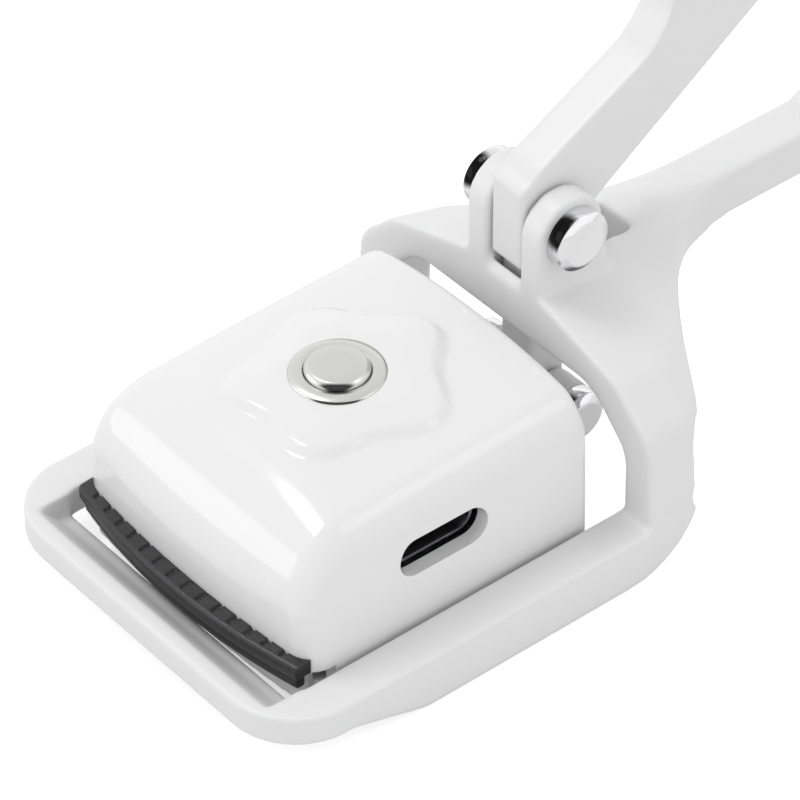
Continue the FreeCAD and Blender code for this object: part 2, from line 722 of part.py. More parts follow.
def port_stadium(length, height, x_low, x_high):
    """Stadium-shaped bar along X at the port's place."""
    half = height / 2
    bar = hull_of_rounds(port_y - length / 2 + half, port_height, half,
                         port_y + length / 2 - half, port_height, half - 1e-4, x_high)
    return bar.common(block(x_low, x_high + 1, front_y, rear_y, 0, arch_height))


def usb_shell():
    """Metal shell of the USB-C receptacle, closed at its inner end."""
    mouth = half_cavity
    back = mouth - port_depth
    tube = port_stadium(port_length, port_body_height, back, mouth)
    hollow = port_stadium(port_length - 2 * port_wall, port_body_height - 2 * port_wall, back + 1.0, mouth + 1)
    return tube.cut(hollow)


def usb_tongue():
    """Contact tongue in the middle of the receptacle."""
    mouth = half_cavity
    back = mouth - port_depth + 1.0
    half = tongue_length / 2
    return block(back, mouth - 0.8, port_y - half, port_y + half,
                 port_height - tongue_thickness / 2, port_height + tongue_thickness / 2)


def battery():
    """Pouch cell under the board."""
    mid_y = (post_front_y + post_rear_y) / 2
    half = battery_width / 2
    low = base_top + tape_thickness
    cell = prism([(-half, low, 1.2), (half, low, 1.2), (half, low + battery_height, 1.2),
                  (-half, low + battery_height, 1.2)], "xz",
                 mid_y - battery_length / 2, mid_y + battery_length / 2)
    return cell


def battery_tape():
    """Foam tape that holds the cell to the base."""
    mid_y = (post_front_y + post_rear_y) / 2
    half = battery_width / 2 - 2
    return block(-half, half, mid_y - battery_length / 2 + 2, mid_y + battery_length / 2 - 2,
                 base_top, base_top + tape_thickness)


def battery_lead(x):
    """Lead from the cell's front end up to the board."""
    end_y = (post_front_y + post_rear_y) / 2 - battery_length / 2
    height = base_top + tape_thickness + battery_height * 0.7
    return lead([V(x, end_y, height), V(x, end_y - 1.4, height), V(x, end_y - 1.4, board_bottom)], lead_radius)


def heater_leads():
    """Two leads from the board down to the heater's plate."""
    y = board_front_y + 0.8
    plate_rear = heater_rear_y
    height = base_top + 1.2
    return Part.makeCompound([
        lead([V(x, y, board_bottom), V(x, y, height), V(x, plate_rear, height)], lead_radius)
        for x in (-4.0, 4.0)])


def control_chips():
    """Charge and control chips on top of the board."""
    z = board_top
    return Part.makeCompound([
        block(-7.5, -4.5, board_front_y + 5, board_front_y + 8, z, z + 0.9),
        block(-7.5, -3.5, board_front_y + 11, board_front_y + 15, z, z + 0.9),
    ])


def status_led():
    """Charge light on the board, beside the port, lighting through the shell's wall."""
    x = board_width / 2 - 1.6
    y = port_y + port_length / 2 + 2.0
    return block(x, x + 1.6, y, y + 0.8, board_top, board_top + 0.7)


# Heater and comb -----------------------------------------------------------------------------------

def heater_plate():
    """Aluminium plate that carries the heating film, on the front edge of the base."""
    half = half_head - head_wall - 1.0
    return block(-half, half, heater_front_y, heater_rear_y, head_bottom, head_bottom + heater_notch)


def thermistor():
    """Temperature sensor bead behind the heater's plate."""
    y = heater_rear_y
    return block(-0.8, 0.8, y, y + 0.8, base_top + 0.6, base_top + 1.8)


def heating_pad():
    """Silicone pad that presses the lashes, in front of the heater's plate."""
    half = half_head - head_wall - 0.4
    strip = bowed_strip(half, head_front_y + pad_setback, head_front_bow, 2 * head_corner_radius,
                        head_bottom + 0.4, head_bottom + 0.4 + pad_height)
    return strip.common(block(-half_head, half_head, front_y, heater_front_y, 0, arch_height))


def comb():
    """Lash comb: a bowed flange with slots along its top and a root that holds the pad."""
    low = comb_flange_height - comb_flange_thickness
    mid = head_front_y - comb_flange_depth
    flange = bowed_strip(comb_half_width, mid, comb_bow, comb_flange_depth + comb_seat, low,
                         comb_flange_height)
    root = bowed_strip(comb_half_width - 0.4, mid + comb_root_setback, comb_bow, comb_root_depth,
                       low - comb_root_height, low)
    solid = union([flange, root])
    first = -(comb_slot_count - 1) / 2 * comb_slot_pitch
    for number in range(comb_slot_count):
        x = first + number * comb_slot_pitch
        y = mid + comb_bow * (x / comb_half_width) ** 2 + 0.3
        solid = solid.cut(block(x - comb_slot_width / 2, x + comb_slot_width / 2, y, y + comb_slot_length,
                                comb_flange_height - 0.8, comb_flange_height + 1))
    return solid.cut(head_body(0)).cut(heating_pad())


def build():
    """Every node's shape by name."""
    nodes = {
        "frame": frame(),
        "lever": lever(),
        "head_shell": head_shell(),
        "head_base": head_base(),
        "base_screws": base_screws(),
        "board_screws": board_screws(),
        "button_ring": button_ring(),
        "power_button": power_button(),
        "tact_switch": tact_switch(),
        "switch_plunger": switch_plunger(),
        "circuit_board": circuit_board(),
        "usb_shell": usb_shell(),
        "usb_tongue": usb_tongue(),
        "battery": battery(),
        "battery_tape": battery_tape(),
        "battery_lead_red": battery_lead(1.5),
        "battery_lead_black": battery_lead(-1.5),
        "heater_leads": heater_leads(),
        "control_chips": control_chips(),
        "status_led": status_led(),
        "heater_plate": heater_plate(),
        "thermistor": thermistor(),
        "heating_pad": heating_pad(),
        "comb": comb(),
    }
    nodes.update(pin_and_caps("pivot", pivot_pin_radius, pivot_cap_radius, pivot_y, pivot_height, ear_outer))
    nodes.update(pin_and_caps("link", link_pin_radius, link_cap_radius, pivot_y, link_height, lug_outer))
    return nodes


os.makedirs("parts", exist_ok=True)
for node, shape in build().items():
    shape.exportStep("parts/" + node + ".step")
    print(node, shape.isValid(), len(shape.Solids), round(shape.Volume, 3))
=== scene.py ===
import bpy
import bmesh
import json
import math
from mathutils import Vector, Matrix

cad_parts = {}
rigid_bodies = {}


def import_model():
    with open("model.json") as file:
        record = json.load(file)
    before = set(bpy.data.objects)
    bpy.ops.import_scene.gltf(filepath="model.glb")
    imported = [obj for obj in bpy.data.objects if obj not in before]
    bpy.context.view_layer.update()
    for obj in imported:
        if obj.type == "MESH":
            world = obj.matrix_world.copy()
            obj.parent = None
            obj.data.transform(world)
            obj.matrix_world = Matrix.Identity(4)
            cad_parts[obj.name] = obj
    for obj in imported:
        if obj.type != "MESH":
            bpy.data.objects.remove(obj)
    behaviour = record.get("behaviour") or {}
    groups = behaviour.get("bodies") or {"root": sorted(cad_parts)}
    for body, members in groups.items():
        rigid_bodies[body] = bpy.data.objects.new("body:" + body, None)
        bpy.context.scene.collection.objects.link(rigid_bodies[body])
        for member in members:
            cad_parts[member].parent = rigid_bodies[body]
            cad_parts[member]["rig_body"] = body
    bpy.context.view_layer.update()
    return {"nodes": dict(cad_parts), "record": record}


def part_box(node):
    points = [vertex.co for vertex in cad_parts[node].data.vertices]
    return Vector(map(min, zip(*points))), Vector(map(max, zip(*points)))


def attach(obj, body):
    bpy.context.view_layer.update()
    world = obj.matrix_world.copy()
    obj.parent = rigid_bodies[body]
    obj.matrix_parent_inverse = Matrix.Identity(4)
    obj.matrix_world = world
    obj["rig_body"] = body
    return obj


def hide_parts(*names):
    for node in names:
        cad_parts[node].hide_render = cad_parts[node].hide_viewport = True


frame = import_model()
nodes = frame["nodes"]
MM = 0.001
scene = bpy.context.scene


# Materials ------------------------------------------------------------------------------------------

def new_material(name):
    m = bpy.data.materials.new(name)
    m.use_nodes = True
    tree = m.node_tree
    tree.nodes.clear()
    out = tree.nodes.new("ShaderNodeOutputMaterial")
    shader = tree.nodes.new("ShaderNodeBsdfPrincipled")
    tree.links.new(shader.outputs["BSDF"], out.inputs["Surface"])
    return m, tree, shader


def varied(name, color, spread, roughness, rough_spread, scale, bump, bump_scale=None, **sockets):
    """Principled finish whose colour, roughness and surface vary with two sizes of noise."""
    m, tree, shader = new_material(name)
    place = tree.nodes.new("ShaderNodeTexCoord")
    broad = tree.nodes.new("ShaderNodeTexNoise")
    broad.inputs["Scale"].default_value = scale
    broad.inputs["Detail"].default_value = 4.0
    tree.links.new(place.outputs["Object"], broad.inputs["Vector"])
    tint = tree.nodes.new("ShaderNodeValToRGB")
    tint.color_ramp.elements[0].position = 0.3
    tint.color_ramp.elements[1].position = 0.7
    tint.color_ramp.elements[0].color = [c * (1 - spread) for c in color] + [1]
    tint.color_ramp.elements[1].color = [min(1, c * (1 + spread)) for c in color] + [1]
    tree.links.new(broad.outputs["Fac"], tint.inputs["Fac"])
    tree.links.new(tint.outputs["Color"], shader.inputs["Base Color"])
    rough = tree.nodes.new("ShaderNodeMapRange")
    rough.inputs["To Min"].default_value = max(0.0, roughness - rough_spread)
    rough.inputs["To Max"].default_value = roughness + rough_spread
    tree.links.new(broad.outputs["Fac"], rough.inputs["Value"])
    tree.links.new(rough.outputs["Result"], shader.inputs["Roughness"])
    fine = tree.nodes.new("ShaderNodeTexNoise")
    fine.inputs["Scale"].default_value = bump_scale or scale * 20
    fine.inputs["Detail"].default_value = 6.0
    tree.links.new(place.outputs["Object"], fine.inputs["Vector"])
    relief = tree.nodes.new("ShaderNodeBump")
    relief.inputs["Strength"].default_value = bump
    relief.inputs["Distance"].default_value = 0.0001
    tree.links.new(fine.outputs["Fac"], relief.inputs["Height"])
    tree.links.new(relief.outputs["Normal"], shader.inputs["Normal"])
    for socket, value in sockets.items():
        shader.inputs[socket.replace("_", " ")].default_value = value
    return m


FRAME_WHITE = (0.77, 0.77, 0.775)
HEAD_WHITE = (0.80, 0.80, 0.80)
mats = {
    "frame_plastic": varied("frame_plastic", FRAME_WHITE, 0.006, 0.36, 0.03, 120, 0.10, 2600, IOR=1.48),
    "lever_plastic": varied("lever_plastic", FRAME_WHITE, 0.006, 0.36, 0.03, 120, 0.10, 2600, IOR=1.48),
    "head_plastic": varied("head_plastic", HEAD_WHITE, 0.005, 0.13, 0.015, 90, 0.02, 1800, IOR=1.5,
                           Coat_Weight=0.4, Coat_Roughness=0.05),
    "base_plastic": varied("base_plastic", (0.72, 0.72, 0.72), 0.012, 0.5, 0.05, 200, 0.2, 3000),
    "chrome": varied("chrome", (0.84, 0.84, 0.85), 0.01, 0.045, 0.015, 300, 0.01, 2000, Metallic=1.0),
    "satin_metal": varied("satin_metal", (0.66, 0.66, 0.64), 0.01, 0.27, 0.03, 300, 0.05, 5000, Metallic=1.0),
    "steel": varied("steel", (0.55, 0.55, 0.56), 0.03, 0.3, 0.06, 400, 0.1, 3000, Metallic=1.0),
    "port_metal": varied("port_metal", (0.5, 0.5, 0.52), 0.03, 0.25, 0.05, 400, 0.05, 3000, Metallic=1.0),
    "port_tongue": varied("port_tongue", (0.05, 0.05, 0.052), 0.06, 0.45, 0.05, 500, 0.1, 4000),
    "comb_plastic": varied("comb_plastic", (0.017, 0.017, 0.019), 0.25, 0.33, 0.08, 500, 0.35, 3500),
    "pad_silicone": varied("pad_silicone", (0.66, 0.66, 0.66), 0.02, 0.6, 0.05, 300, 0.2, 3000),
    "heater_metal": varied("heater_metal", (0.7, 0.7, 0.71), 0.03, 0.35, 0.06, 300, 0.1, 3000, Metallic=1.0),
    "board": varied("board", (0.03, 0.16, 0.08), 0.12, 0.35, 0.06, 700, 0.3, 2500),
    "chip": varied("chip", (0.025, 0.025, 0.027), 0.1, 0.5, 0.08, 900, 0.3, 4000),
    "led": varied("led", (0.85, 0.85, 0.78), 0.03, 0.15, 0.03, 500, 0.05, 3000, Transmission_Weight=0.3),
    "cell_wrap": varied("cell_wrap", (0.62, 0.63, 0.65), 0.03, 0.3, 0.08, 260, 0.3, 900, Metallic=0.8),
    "tape": varied("tape", (0.04, 0.04, 0.04), 0.1, 0.8, 0.05, 500, 0.5, 3000),
    "lead_red": varied("lead_red", (0.5, 0.02, 0.02), 0.06, 0.4, 0.05, 500, 0.1, 3000),
    "lead_black": varied("lead_black", (0.02, 0.02, 0.02), 0.1, 0.4, 0.05, 500, 0.1, 3000),
}


def painted_reflection_bands(m, bands):
    """Painted reflection and shade: dark bands painted into a polished metal's base colour where its surface
    faces given ways, fixed to the metal from every view.
    """
    tree = m.node_tree
    shader = [n for n in tree.nodes if n.type == "BSDF_PRINCIPLED"][0]
    geometry = tree.nodes.new("ShaderNodeNewGeometry")
    base = shader.inputs["Base Color"].links[0].from_socket
    for direction, near, far, shade in bands:
        dot = tree.nodes.new("ShaderNodeVectorMath")
        dot.operation = "DOT_PRODUCT"
        dot.inputs[1].default_value = Vector(direction).normalized()
        tree.links.new(geometry.outputs["Normal"], dot.inputs[0])
        share = tree.nodes.new("ShaderNodeMapRange")
        share.interpolation_type = "SMOOTHSTEP"
        share.inputs["From Min"].default_value = math.cos(math.radians(far))
        share.inputs["From Max"].default_value = math.cos(math.radians(near))
        tree.links.new(dot.outputs["Value"], share.inputs["Value"])
        blend = tree.nodes.new("ShaderNodeMix")
        blend.data_type = "RGBA"
        tree.links.new(share.outputs["Result"], blend.inputs["Factor"])
        tree.links.new(base, blend.inputs["A"])
        blend.inputs["B"].default_value = (shade, shade, shade, 1)
        base = blend.outputs["Result"]
    tree.links.new(base, shader.inputs["Base Color"])


# Painted reflection on the chrome caps: a near-black band on faces turned up and to the front. Painted shade:
# darker bands on faces turned down to either side.
painted_reflection_bands(mats["chrome"], [((0, -0.75, 0.66), 26, 44, 0.01), ((0.7, -0.2, -0.7), 18, 30, 0.06),
                            ((-0.7, -0.2, -0.7), 18, 30, 0.06)])
# Painted reflection on the button's satin metal: a dark band along its bevel facing the front and up.
painted_reflection_bands(mats["satin_metal"], [((0.66, -0.55, 0.46), 20, 31, 0.05)])
slot_of = {s["node"]: s["material_slot"] for s in frame["record"]["subparts"]}


def dress(obj, slot_name):
    obj.data.materials.clear()
    obj.data.materials.append(mats[slot_name])


def body_name(node):
    return nodes[node]["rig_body"]


# Mesh helpers ----------------------------------------------------------------------------------------

def add(name, mesh):
    obj = bpy.data.objects.new(name, mesh)
    scene.collection.objects.link(obj)
    return obj


def baked(obj, name):
    """Mesh of obj with its modifiers applied; obj is removed."""
    graph = bpy.context.evaluated_depsgraph_get()
    mesh = bpy.data.meshes.new_from_object(obj.evaluated_get(graph))
    bpy.data.objects.remove(obj)
    made = add(name, mesh)
    made.data.name = name
    return made


def smooth_all(obj):
    for p in obj.data.polygons:
        p.use_smooth = True


def clean(obj, reach=1e-6):
    b = bmesh.new()
    b.from_mesh(obj.data)
    bmesh.ops.remove_doubles(b, verts=b.verts, dist=reach)
    bmesh.ops.recalc_face_normals(b, faces=b.faces)
    b.to_mesh(obj.data)
    b.free()


def softened(node, name, voxel, rounds):
    """Copy of a CAD node with every edge rounded over, as a mould leaves it."""
    source = add(name + "_raw", nodes[node].data.copy())
    clean(source, 2e-6)
    remesh = source.modifiers.new("remesh", "REMESH")
    remesh.mode = "VOXEL"
    remesh.voxel_size = voxel * MM
    remesh.adaptivity = 0.0
    soft = source.modifiers.new("soft", "SMOOTH")
    soft.factor = 0.5
    soft.iterations = rounds
    made = baked(source, name)
    smooth_all(made)
    return made


def finish_piece(obj, node):
    dress(obj, slot_of[node])
    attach(obj, body_name(node))
    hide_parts(node)
    return obj


def lathe(name, profile, steps=96):
    """Surface of revolution about Z from (radius, height) points in mm; ends on the axis close it."""
    verts, faces = [], []
    rings = []
    for r, z in profile:
        if r < 1e-6:
            rings.append([len(verts)])
            verts.append((0, 0, z * MM))
        else:
            rings.append(list(range(len(verts), len(verts) + steps)))
            for k in range(steps):
                a = 2 * math.pi * k / steps
                verts.append((r * MM * math.cos(a), r * MM * math.sin(a), z * MM))
    for low, high in zip(rings, rings[1:]):
        for k in range(steps):
            n = (k + 1) % steps
            if len(low) == 1 and len(high) == 1:
                continue
            if len(low) == 1:
                faces.append((low[0], high[n], high[k]))
            elif len(high) == 1:
                faces.append((low[k], low[n], high[0]))
            else:
                faces.append((low[k], low[n], high[n], high[k]))
    mesh = bpy.data.meshes.new(name)
    mesh.from_pydata(verts, [], faces)
    obj = add(name, mesh)
    clean(obj, 1e-8)
    smooth_all(obj)
    return obj


def arc_points(cr, cz, r, a0, a1, n):
    return [(cr + r * math.cos(math.radians(a0 + (a1 - a0) * k / n)),
             cz + r * math.sin(math.radians(a0 + (a1 - a0) * k / n))) for k in range(n + 1)]


# Frame and lever ------------------------------------------------------------------------------------

frame_obj = softened("frame", "frame_moulding", 0.26, 12)
finish_piece(frame_obj, "frame")
lever_obj = softened("lever", "lever_moulding", 0.22, 9)
finish_piece(lever_obj, "lever")


# Head shell ----------------------------------------------------------------------------------------

low_corner, high_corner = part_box("head_shell")
HALF = high_corner.x / MM
FRONT = low_corner.y / MM
REAR = high_corner.y / MM
LOW = low_corner.z / MM
TOP = high_corner.z / MM - 0.5
ring_low, ring_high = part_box("button_ring")
BUTTON_Y = (ring_low.y + ring_high.y) / 2 / MM
RELIEF_Y = BUTTON_Y + 0.6   # flower's centre, a little behind the button
RING_R = ring_high.x / MM
CORNER = 2.6                # front corners in plan
BOW = 0.7                   # how far the front's middle stands forward of its corners
SHELL_WALL = 1.4


def front_line(x, inset):
    """Front edge of the plan at a place across it: nearly straight, bowed forward in the middle."""
    return FRONT + inset + BOW * (x / (HALF - CORNER)) ** 2


def plan_outline(inset, side=34, turn=14):
    """Points of the head's plan outline moved inwards, anticlockwise from the right-hand side."""
    half = HALF - inset
    rear = REAR - inset
    r_front = max(CORNER - 0.8 * inset, 0.8)
    r_rear = max(1.0 - 0.5 * inset, 0.4)
    flat = half - r_front
    y_corner = front_line(flat, inset) + r_front
    pts = []

    def line(a, b):
        for k in range(side):
            t = k / side
            pts.append((a[0] + (b[0] - a[0]) * t, a[1] + (b[1] - a[1]) * t))

    def corner(cx, cy, r, a0):
        for k in range(turn):
            a = math.radians(a0 + 90 * k / turn)
            pts.append((cx + r * math.cos(a), cy + r * math.sin(a)))

    line((half, y_corner), (half, rear - r_rear))
    corner(half - r_rear, rear - r_rear, r_rear, 0)
    line((half - r_rear, rear), (-half + r_rear, rear))
    corner(-half + r_rear, rear - r_rear, r_rear, 90)
    line((-half, rear - r_rear), (-half, y_corner))
    corner(-flat, y_corner, r_front, 180)
    for k in range(side):
        x = -flat + 2 * flat * k / side
        pts.append((x, front_line(x, inset)))
    corner(flat, y_corner, r_front, 270)
    return pts


def petal_edge(angle):
    return 9.65 + 0.95 * math.cos(5 * (angle - math.pi / 2))


def smoothstep(a, b, v):
    t = min(1, max(0, (v - a) / (b - a)))
    return t * t * (3 - 2 * t)


def roof(x, y):
    """Height of the roof over a point, before its edges are rounded over."""
    along = (y - FRONT) / (REAR - FRONT)
    z = TOP - 1.75 * abs(x / HALF) ** 2.2 - 1.1 * (1 - along) ** 2
    dx, dy = x, y - RELIEF_Y
    gap = petal_edge(math.atan2(dy, dx)) - math.hypot(dx, dy)
    z += 0.62 * smoothstep(-0.2, 1.0, gap)
    z += 0.4 * smoothstep(0.6, 4.4, gap)
    return z


def lean(z):
    """How far the walls lean in at a height."""
    return 0.7 * (max(0.0, z - LOW) / (TOP - LOW)) ** 1.6


def edge_gaps(x, y, inset):
    """Distance to the side wall and to the front wall, both bent round the front corners."""
    flat = HALF - CORNER
    turn_y = front_line(flat, inset) + CORNER
    radius = CORNER - 0.2 * inset
    side, front = HALF - inset, front_line(x, inset)
    if y < turn_y:
        side = flat - 0.8 * inset + math.sqrt(max(0.0, radius ** 2 - min(radius, turn_y - y) ** 2))
    if abs(x) > flat - 0.8 * inset:
        out = min(radius, abs(x) - flat + 0.8 * inset)
        front = turn_y - math.sqrt(max(0.0, radius ** 2 - out ** 2))
    return max(0.0, side - abs(x)), max(0.0, y - front)


def fall(share, power=2.05):
    return math.sqrt(max(0.0, 1 - max(0.0, share) ** power))


def shell_height(x, y, inset):
    """Height of the surface over a plan point, with its shoulders rounded over."""
    side_gap, front_gap = edge_gaps(x, y, inset)
    middle = 1 - min(1, abs(x) / 15) ** 2
    wide = 5.2 + 4.6 * middle
    u, v = 1 - side_gap / 3.4, 1 - front_gap / wide
    share = max(0, v) / (max(0, u) + max(0, v)) if u > 0 or v > 0 else 0
    tall = 5.4 + (0.6 + 2.4 * middle) * share
    rear = 0.8 * (1 - fall(1 - (REAR - inset - y) / 1.0, 2))
    return roof(x, y) - inset - tall * (1 - fall(u) * fall(v)) - rear


def head_rings(inset, levels=16, steps=100):
    """Vertices and faces of the wall, shoulder and roof, as rings that shrink towards the button."""
    outline = plan_outline(inset)
    n = len(outline)
    tops = [shell_height(x, y, inset) for x, y in outline]
    verts, faces = [], []
    for k in range(levels + 1):
        for (x, y), top in zip(outline, tops):
            z = LOW + (top - LOW) * k / levels
            verts.append((x * (1 - lean(z) / HALF) * MM, y * MM, z * MM))
    for k in range(1, steps):
        share = (k / steps) ** 1.9
        for x, y in outline:
            px, py = x * (1 - share), y + (BUTTON_Y - y) * share
            z = shell_height(px, py, inset)
            verts.append((px * (1 - lean(z) / HALF) * MM, py * MM, z * MM))
    rows = levels + steps
    for a in range(rows - 1):
        for k in range(n):
            m = (k + 1) % n
            faces.append((a * n + k, a * n + m, (a + 1) * n + m, (a + 1) * n + k))
    verts.append((0, BUTTON_Y * MM, shell_height(0, BUTTON_Y, inset) * MM))
    last = (rows - 1) * n
    for k in range(n):
        faces.append((last + k, last + (k + 1) % n, len(verts) - 1))
    return verts, faces, n


def build_head_shell():
    outer_v, outer_f, n = head_rings(0.0)
    inner_v, inner_f, n = head_rings(SHELL_WALL)
    shift = len(outer_v)
    faces = list(outer_f) + [tuple(reversed([i + shift for i in f])) for f in inner_f]
    for k in range(n):
        m = (k + 1) % n
        faces.append((m, k, shift + k, shift + m))
    mesh = bpy.data.meshes.new("head_shell_form")
    mesh.from_pydata(outer_v + inner_v, [], faces)
    obj = add("head_shell_form", mesh)
    b = bmesh.new()
    b.from_mesh(mesh)
    bmesh.ops.recalc_face_normals(b, faces=b.faces)
    b.to_mesh(mesh)
    b.free()
    return obj


def tube(name, outline, direction, low, high):
    """Closed prism of an outline of (u, v) mm points; direction is x or z."""
    verts, faces = [], []
    n = len(outline)
    for level in (low, high):
        for u, v in outline:
            verts.append((level * MM, u * MM, v * MM) if direction == "x" else (u * MM, v * MM, level * MM))
    for k in range(n):
        m = (k + 1) % n
        faces.append((k, m, n + m, n + k))
    faces.append(tuple(reversed(range(n))))
    faces.append(tuple(range(n, 2 * n)))
    mesh = bpy.data.meshes.new(name)
    mesh.from_pydata(verts, [], faces)
    obj = add(name, mesh)
    clean(obj, 1e-8)
    return obj


def stadium(cy, cz, length, height, n=18):
    r = height / 2
    pts = []
    for k in range(n + 1):
        a = -math.pi / 2 + math.pi * k / n
        pts.append((cy + length / 2 - r + r * math.cos(a), cz + r * math.sin(a)))
    for k in range(n + 1):
        a = math.pi / 2 + math.pi * k / n
        pts.append((cy - length / 2 + r + r * math.cos(a), cz + r * math.sin(a)))
    return pts


port_low, port_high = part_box("usb_shell")
PORT_Y = (port_low.y + port_high.y) / 2 / MM
PORT_Z = (port_low.z + port_high.z) / 2 / MM

PORT_LENGTH = 9.7
PORT_HEIGHT = 3.65
RING_STEPS = 96
FRONT_ROOM_DEPTH = 3.8      # room behind the head's front for the pad and comb
FRONT_ROOM_HEIGHT = 4.2

shell = build_head_shell()
ring_hole = []
for k in range(RING_STEPS):
    a = 2 * math.pi * k / RING_STEPS
    ring_hole.append((RING_R * math.cos(a), BUTTON_Y + RING_R * math.sin(a)))
front_room = [(-HALF - 1, FRONT - 3), (HALF + 1, FRONT - 3), (HALF + 1, FRONT + FRONT_ROOM_DEPTH),
              (-HALF - 1, FRONT + FRONT_ROOM_DEPTH)]
cutters = [
    tube("cut_ring", ring_hole, "z", TOP - 6, TOP + 4),
    tube("cut_port", stadium(PORT_Y, PORT_Z, PORT_LENGTH, PORT_HEIGHT), "x", 5.0, HALF + 4),
    tube("cut_front", front_room, "z", LOW - 2, LOW + FRONT_ROOM_HEIGHT),
]
for c in cutters:
    cut = shell.modifiers.new("cut", "BOOLEAN")
    cut.operation = "DIFFERENCE"
    cut.solver = "EXACT"
    cut.object = c
shell = baked(shell, "head_cover")
for c in cutters:
    bpy.data.objects.remove(c)
clean(shell, 1e-7)
smooth_all(shell)
split = shell.modifiers.new("rim", "BEVEL")
split.width = 0.22 * MM
split.segments = 3
split.limit_method = "ANGLE"
split.angle_limit = math.radians(55)
split.harden_normals = False
shell.modifiers.new("shade", "WEIGHTED_NORMAL")
shell = baked(shell, "head_cover")
smooth_all(shell)
finish_piece(shell, "head_shell")


# Ring, button, caps --------------------------------------------------------------------------------

ring_top = ring_high.z / MM
ring_bottom = ring_low.z / MM
hole_r = 3.0
ring = lathe("button_bezel",
             [(hole_r, ring_bottom), (RING_R, ring_bottom), (RING_R, ring_top - 0.42)]
             + arc_points(RING_R - 0.3, ring_top - 0.42, 0.3, 0, 70, 6)
             + [(RING_R - 0.62, ring_top), (hole_r + 0.12, ring_top)]
             + [(hole_r + 0.03, ring_top - 0.04), (hole_r, ring_top - 0.1), (hole_r, ring_bottom)])
ring.location = (0, BUTTON_Y * MM, 0)
ring.modifiers.new("shade", "WEIGHTED_NORMAL")
finish_piece(ring, "button_ring")

button_low, button_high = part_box("power_button")
b_top = button_high.z / MM
b_r = button_high.x / MM
button = lathe("button_cap",
               [(0, button_low.z / MM), (1.2, button_low.z / MM), (1.2, ring_top - 1.6),
                (b_r, ring_top - 1.6), (b_r, b_top - 0.42), (b_r - 0.06, b_top - 0.30),
                (b_r - 0.34, b_top - 0.03), (b_r - 0.42, b_top), (1.5, b_top - 0.01), (0, b_top - 0.01)])
button.location = (0, BUTTON_Y * MM, 0)
button.modifiers.new("shade", "WEIGHTED_NORMAL")
finish_piece(button, "power_button")


def cap_piece(node, side):
    lo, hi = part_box(node)
    cy, cz = (lo.y + hi.y) / 2, (lo.z + hi.z) / 2
    r = (hi.y - lo.y) / 2 / MM
    depth = (hi.x - lo.x) / MM
    seat = (lo.x if side > 0 else -hi.x) / MM
    profile = [(0, 0), (r - 0.08, 0), (r, 0.08), (r, depth - 0.62)]
    profile += arc_points(r - 0.34, depth - 0.62, 0.34, 8, 55, 5)
    profile += [(r - 0.62, depth - 0.07), (r - 0.78, depth), (r - 0.95, depth - 0.02), (0, depth + 0.0)]
    made = lathe(node + "_dome", profile, 80)
    turn = Matrix.Rotation(math.radians(90 * side), 4, "Y")
    made.data.transform(Matrix.Translation((side * seat * MM, cy, cz)) @ turn)
    made.modifiers.new("shade", "WEIGHTED_NORMAL")
    return finish_piece(made, node)


for side, word in ((1, "right"), (-1, "left")):
    cap_piece("pivot_cap_" + word, side)
    cap_piece("link_cap_" + word, side)


# Comb, pad, base ------------------------------------------------------------------------------------

comb_low, comb_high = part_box("comb")
COMB_FRONT = comb_low.y / MM
COMB_TOP = comb_high.z / MM
COMB_HALF = comb_high.x / MM
COMB_BOW = 1.7
FLANGE_THICKNESS = 1.5
FLANGE_LOW = COMB_TOP - FLANGE_THICKNESS
FLANGE_DEPTH = 2.7
WALL_GAP = 0.03
SLOT_PITCH = 2.0
SLOT_SINK = 0.3
ROOT_SETBACK = 0.45
ROOT_END_INSET = 0.4


def comb_front(x):
    return COMB_FRONT + COMB_BOW * (x / COMB_HALF) ** 2


def head_wall(x):
    """Front of the head's wall across its width, round its front corners too."""
    flat = HALF - CORNER
    if abs(x) <= flat:
        return front_line(x, 0)
    return front_line(flat, 0) + CORNER - math.sqrt(max(0.0, CORNER ** 2 - (abs(x) - flat) ** 2))


def slot_sink(x, back):
    """Depth of the closed slots in the comb's top at a place across it and behind its front edge."""
    off = abs(x - SLOT_PITCH * (round(x / SLOT_PITCH - 0.5) + 0.5)) if abs(x) < 14 else 1.0
    along = max(0.0, abs(back - 1.12) - 0.36)
    return SLOT_SINK * (1 - smoothstep(0.17, 0.31, math.hypot(off, along)))


def flange_section(x):
    y0 = comb_front(x)
    reach = min(FLANGE_DEPTH, head_wall(x) - WALL_GAP - y0)
    rows = []
    for k in range(31):
        back = reach - (reach - 0.3) * k / 30
        rows.append((y0 + back, COMB_TOP - slot_sink(x, back) - 0.12 * (1 - back / reach)))
    top = COMB_TOP - 0.12
    rows += [(y0 + 0.3 - 0.3 * math.sin(a * math.pi / 12), top - 0.3 + 0.3 * math.cos(a * math.pi / 12))
             for a in range(1, 7)]
    rows += [(y0, FLANGE_LOW + 0.2), (y0 + 0.06, FLANGE_LOW + 0.06), (y0 + 0.2, FLANGE_LOW)]
    rows += [(y0 + reach - 0.05, FLANGE_LOW), (y0 + reach, FLANGE_LOW + 0.05)]
    return rows


def root_section(x):
    y0 = comb_front(x) + ROOT_SETBACK
    low = comb_low.z / MM
    return [(y0, FLANGE_LOW + 0.2), (y0, low + 0.2), (y0 + 0.06, low + 0.06), (y0 + 0.2, low),
            (y0 + 0.7, low), (y0 + 0.84, low + 0.06), (y0 + 0.9, low + 0.2), (y0 + 0.9, FLANGE_LOW + 0.2)]


